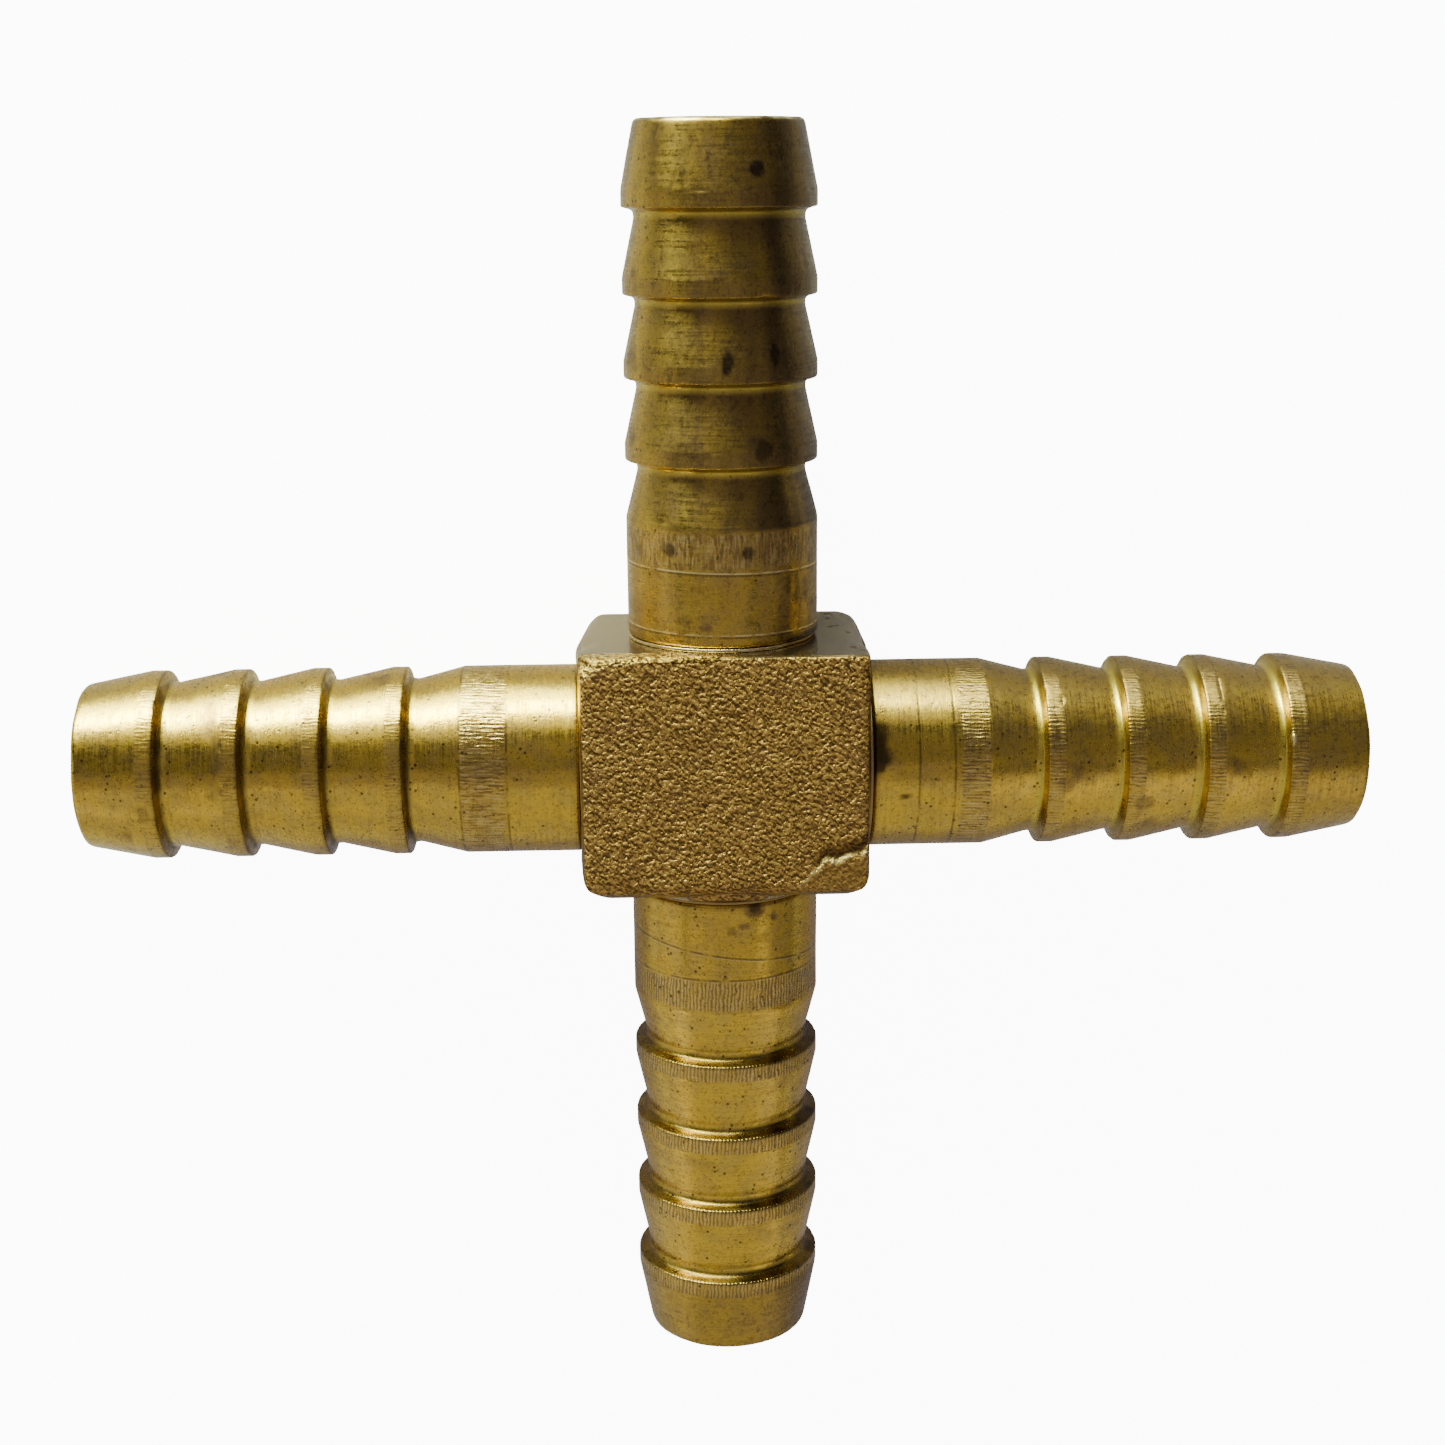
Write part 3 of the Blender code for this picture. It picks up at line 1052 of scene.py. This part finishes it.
def round_edge(points, first, second, corner, radius):
    """Rounds the edge where two sides meet. Each side is an (axis, sign), corner their places."""
    a = points[:, first[0]] * first[1] - (corner[0] - radius)
    b = points[:, second[0]] * second[1] - (corner[1] - radius)
    length = np.hypot(a, b)
    over = (a > 0) & (b > 0) & (length > radius)
    shrink = radius / np.where(over, length, 1.0)
    points[over, first[0]] = (first[1] * (corner[0] - radius + a * shrink))[over]
    points[over, second[0]] = (second[1] * (corner[1] - radius + b * shrink))[over]


def off_seat(first, second):
    """0 on the faced seat of a nipple and 1 away from it."""
    return ramp(np.hypot(first, second), SEAT_RADIUS, SEAT_RADIUS + SEAT_BLEND)


def draft_sides(points, half):
    """The X sides swell a little towards mid-depth, but not at the faced seats of the nipples."""
    x, y, z = points.T
    at_side = ramp(np.abs(x), half[0] - 1.0 * MM, half[0] - 0.3 * MM)
    swell = DRAFT * (1 - np.abs(z) / half[2]) + np.where(x < 0, FLASH_LEFT, FLASH_RIGHT)
    swell += np.where(x < 0, BACK_LEFT, BACK_RIGHT) * np.clip(-z / half[2], 0, 1)
    points[:, 0] += np.sign(x) * swell * off_seat(y, z) * at_side


def raise_lower_side(points):
    """The -Y side stands a little in from its seat."""
    at_side = ramp(-points[:, 1], 5.5 * MM, 7.0 * MM)
    points[:, 1] += LOWER_SETBACK * at_side * off_seat(points[:, 0], points[:, 2])


def block_lumps(points, size, number):
    """Noise with lumps of that size in millimetres, another for each number."""
    return noise(points, size * MM, BLOCK_SEED + number)


def line_height(x, spots):
    """Height of a bent line at x, from its corner points."""
    return np.interp(x, [spot[0] for spot in spots], [spot[1] for spot in spots])


def shaped_block(size):
    """The blank with its corners, edges and sides as the photo shows them."""
    half = np.array(size) / 2
    mesh = block_blank(size)
    points = read_points(mesh)
    sharpen_corners(points, half)
    left, right, lower, face = (0, -1), (0, 1), (1, -1), (2, 1)
    round_edge(points, right, lower, half[:2], LOWER_CORNER)
    round_edge(points, left, lower, half[:2], LOWER_CORNER)
    round_edge(points, lower, face, half[1:], LOWER_EDGE)
    round_edge(points, right, face, half[::2], SIDE_EDGE)
    round_edge(points, left, face, half[::2], SIDE_EDGE)
    draft_sides(points, half)
    raise_lower_side(points)
    write_points(mesh, points)
    return mesh, points


def lap_relief(points, x, y, top):
    """The lap at the lower right: how far the face drops there, and the masks of its parts."""
    lap = line_height(x, LAP_LINE) + 0.2 * block_lumps(points, 0.55, 3) + LAP_SHIFT
    below = y - lap
    zone = ramp(x, 3.6, 4.3) * top
    broken = ramp(block_lumps(points, 0.55, 4), -0.5, 0.3)
    wall = 1 - ramp(below, -0.03, 0.17)
    # the dark of the hollow is painted shade and the bright ridge a painted highlight
    shaded_hollow = near(below, 0.42, 0.8) * (below > 0) * ramp(x, 4.6, 5.6) * top
    ridge_highlight = near(below, 0.08, 0.24) * zone * (0.1 + 0.9 * broken)
    drop = wall * (0.07 + 0.08 * broken) * zone - shaded_hollow * 0.2
    return drop, {"shaded_hollow": shaded_hollow, "ridge_highlight": ridge_highlight, "worn": zone * (below < 0)}


def chip_relief(points, x, y, depth_left):
    """The chip along the upper left edge and the nick at the right: depth, chip and bare metal."""
    above = y - line_height(x, CHIP_LINE) - 0.08 * block_lumps(points, 0.45, 5)
    zone = (x < -3.0) & (depth_left < 1.2)
    chip = ramp(above, -0.04, 0.06) * zone
    uneven = 0.42 + 0.3 * block_lumps(points, 0.45, 7)
    nick = near(x, CORNER_CUT[0], 0.5) * near(y, CORNER_CUT[1], 0.75) * (depth_left < 1.0)
    edge_line = ramp(y, 6.86, 6.98) * (depth_left < 0.6)
    long_line = ramp(-x, -0.8, 2.0)
    ragged = ramp(block_lumps(points, 0.5, 6) + 1.5 * long_line, 0.75, 1.15)
    fresh = np.maximum(np.maximum(chip, ramp(nick, 0.25, 0.6)), edge_line * ragged)
    return np.clip(above, 0, 1.2) * uneven * zone + nick * 0.22, chip, fresh


def side_marks(points, x, y, z, normals, rough_face):
    """Distance from the arm's axis, for the facing marks, and the dull scale on the sides, with
    painted shade on the upper half of the right side.
    """
    on_x_side = np.abs(normals[:, 0]) > np.abs(normals[:, 1])
    from_axis = np.where(on_x_side, np.hypot(y, z), np.hypot(x, z))
    scuff = ramp(block_lumps(points, 0.42, 8), 0.42, 0.62)
    scuff = scuff * ramp(block_lumps(points, 1.5, 9), 0.0, 0.3)
    scuff *= (y > 6.9) * ramp(x, 5.2, 5.6)
    # painted shade on the upper half of the right side, beside the right arm's foot
    scale_and_shade = 0.25 + 0.65 * ramp(y, -1.0, 1.0) * (x > 0)
    return from_axis, np.maximum(on_x_side * (1 - rough_face) * scale_and_shade, scuff)


def add_block(material):
    low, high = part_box("body_block")
    mesh, points = shaped_block(high - low)
    half_depth = (high[2] - low[2]) / 2
    normals = read_normals(mesh)
    x, y, z = (points / MM).T
    depth_left = half_depth / MM - z  # millimetres below the rough face
    top = ramp(normals[:, 2], 0.45, 0.8) * (depth_left < 1.0)
    base = ramp(-normals[:, 2], 0.45, 0.8) * (z < 1.0 - half_depth / MM)
    rough_face = np.maximum(top, base)

    uneven = block_lumps(points, 1.6, 1) * 0.03 + block_lumps(points, 0.6, 2) * 0.02 - 0.03
    by_edge = ramp(np.abs(z), half_depth / MM - 1.2, half_depth / MM - 0.1)
    uneven = uneven * np.maximum(rough_face, by_edge * 0.8)
    drop, masks = lap_relief(points, x, y, top)
    cut, chip, fresh = chip_relief(points, x, y, depth_left)
    moved = points + normals * (uneven * MM)[:, None]
    moved[:, 2] += (drop * (z > 0) - cut) * MM
    moved[:, 2] = np.clip(moved[:, 2], -half_depth, half_depth)
    write_points(mesh, moved)

    from_axis, scale = side_marks(points, x, y, z, normals, rough_face)
    masks["rough_face"] = rough_face * (1 - chip)
    masks["scale"] = scale * (1 - fresh)
    masks["fresh"] = fresh
    for name, values in masks.items():
        store(mesh, name, np.clip(values, 0, 1))
    store(mesh, "from_axis", from_axis)
    add_piece("forged_block", mesh, material, "body_block")


def add_floor(height):
    """A wide pale floor. It shows pale to the camera and mirrors softly at a low angle."""
    mesh = bpy.data.meshes.new("floor")
    reach = FLOOR_REACH
    corners = [(-reach, -reach, height), (reach, -reach, height)]
    corners += [(reach, reach, height), (-reach, reach, height)]
    mesh.from_pydata(corners, [], [(0, 1, 2, 3)])
    floor = bpy.data.objects.new("floor", mesh)
    bpy.context.scene.collection.objects.link(floor)
    look = Look("pale_floor")
    look.set(Base_Color=FLOOR_GREY, Roughness=0.2, IOR=1.65)
    glow = look.feed(look.node("ShaderNodeEmission"), Color=(*WHITE, 1.0), Strength=STAGE_GLOW)
    paler = look.feed(look.node("ShaderNodeBsdfDiffuse"), Color=FLOOR_SEEN)
    both = look.node("ShaderNodeAddShader")
    look.put(both.inputs[0], glow)
    look.put(both.inputs[1], paler)
    show_camera(look.tree, look.shader, both, "Material Output")
    mesh.materials.append(look.material)


def show_camera(tree, for_light, for_camera, output):
    """Shows one shader to the camera and the other to every other ray."""
    path = tree.nodes.new("ShaderNodeLightPath")
    choice = tree.nodes.new("ShaderNodeMixShader")
    tree.links.new(path.outputs["Is Camera Ray"], choice.inputs[0])
    tree.links.new(for_light.outputs[0], choice.inputs[1])
    tree.links.new(for_camera.outputs[0], choice.inputs[2])
    tree.links.new(choice.outputs[0], tree.nodes[output].inputs["Surface"])


def panel(name, place, width, height, radiance, color=WHITE, up=(0, 0, 1)):
    """A soft rectangular light facing the cross, of the given brightness."""
    data = bpy.data.lights.new(name, "AREA")
    data.shape = "RECTANGLE"
    data.size = width
    data.size_y = height
    data.energy = radiance * math.pi * width * height
    data.color = color
    light = bpy.data.objects.new(name, data)
    bpy.context.scene.collection.objects.link(light)
    light.location = place
    back = Vector(place).normalized()
    side = Vector(up).cross(back).normalized()
    light.rotation_euler = Matrix((side, back.cross(side), back)).transposed().to_euler()
    light.visible_camera = False


def seen_at(azimuth, elevation):
    """A place seen from the cross at that angle from +Y towards -X and above the floor."""
    a, e = math.radians(azimuth), math.radians(elevation)
    return (
        -LIGHT_REACH * math.sin(a) * math.cos(e),
        LIGHT_REACH * math.cos(a) * math.cos(e),
        LIGHT_REACH * math.sin(e),
    )


def add_lights():
    """Each panel's place, width and height are in metres, with its radiance, tint and up side."""
    along_y = (0, 1, 0)
    panel("key", seen_at(23, 8.6), 0.6, 0.185, 40.0, KEY_TINT, (-0.1, 0, 1))
    panel("key_glow", seen_at(18, 31), 0.55, 0.22, 1.2, (0.95, 1.0, 1.0))
    panel("key_side", seen_at(-36, 15), 0.36, 0.30, 0.18, COOL_TINT)
    panel("front_fill", (0.0, -0.433, 0.25), 1.2, 0.754, 0.52)
    panel("right_fill", (0.5, -0.28, 0.26), 0.5, 0.5, 0.22, COOL_TINT)
    panel("left_fill", (-0.5, -0.17, 0.15), 0.6, 0.30, 0.65, (1.0, 1.0, 1.15))
    panel("overhead_near", (-0.12, -0.14, 0.62), 1.1, 0.29, 0.28, COOL_TINT, along_y)
    panel("overhead_far", (-0.21, 0.26, 0.62), 0.42, 0.46, 0.24, COOL_TINT, along_y)
    panel("overhead_right", (0.38, 0.20, 0.62), 0.80, 0.60, 0.13, COOL_TINT, along_y)


def add_world():
    """A dim bluish sky for the brass, which the camera sees as a pale backdrop."""
    world = bpy.data.worlds.new("studio")
    bpy.context.scene.world = world
    world.use_nodes = True
    tree = world.node_tree
    dim = tree.nodes["Background"]
    pale = tree.nodes.new("ShaderNodeBackground")
    for sky, tint, strength in ((dim, WORLD_TINT, WORLD_DIM), (pale, (*WHITE, 1.0), STAGE_GLOW)):
        sky.inputs["Color"].default_value = tint
        sky.inputs["Strength"].default_value = strength
    show_camera(tree, dim, pale, "World Output")


def add_camera():
    data = bpy.data.cameras.new("camera")
    data.lens = CAMERA_LENS
    data.sensor_width = SENSOR
    data.clip_start = CAMERA_NEAR
    camera = bpy.data.objects.new("camera", data)
    bpy.context.scene.collection.objects.link(camera)
    turn = Matrix.Rotation(CAMERA_ROLL, 4, "Z")
    turn = turn @ Matrix.Rotation(CAMERA_SWING, 4, "Y")
    turn = turn @ Matrix.Rotation(CAMERA_TILT, 4, "X")
    view = Matrix.Translation((*CAMERA_SLIDE, -CAMERA_DISTANCE)) @ turn
    camera.matrix_world = view.inverted()
    bpy.context.scene.camera = camera


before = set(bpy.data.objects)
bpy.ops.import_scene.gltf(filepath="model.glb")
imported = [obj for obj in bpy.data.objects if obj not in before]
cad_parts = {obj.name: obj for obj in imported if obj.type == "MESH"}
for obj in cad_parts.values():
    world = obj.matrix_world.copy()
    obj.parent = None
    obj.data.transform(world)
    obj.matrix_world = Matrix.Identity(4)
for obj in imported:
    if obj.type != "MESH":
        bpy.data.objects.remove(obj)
cad_low, cad_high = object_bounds()
add_camera()
add_nipples(turned_brass())
add_rings(braze_filler())
add_block(forged_brass())
add_floor(cad_low.z - FLOOR_DROP)
add_lights()
add_world()
